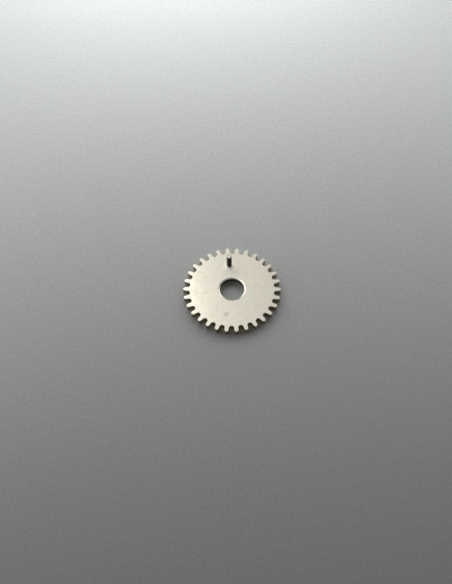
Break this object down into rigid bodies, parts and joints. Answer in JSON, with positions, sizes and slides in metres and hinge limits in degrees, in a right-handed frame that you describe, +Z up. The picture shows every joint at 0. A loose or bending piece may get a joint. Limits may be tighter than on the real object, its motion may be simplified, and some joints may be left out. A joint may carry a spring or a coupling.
{
  "type": "date indicator driving wheel",
  "caption": "Thin flat toothed wheel of a watch calendar, with a chamfered centre hole and an upright steel pin riveted in near the teeth to drive the date ring.",
  "frame": {"origin": "on the wheel's axis, at the plate's underside", "axes": "+Z up along the axis to the side that the pin stands on, +Y from the axis to the pin, along the middle of a tooth"},
  "size_m": [0.006, 0.006, 0.0013],
  "materials": {
    "nickel_plated_brass": "stamped sheet with a warm white nickel plating, satin and slightly mottled",
    "steel_pin": "turned and polished steel, dark where it mirrors its surroundings"
  },
  "bodies": {
    "root": {"wheel_plate": "nickel_plated_brass", "drive_pin": "steel_pin"}
  },
  "joints": []
}
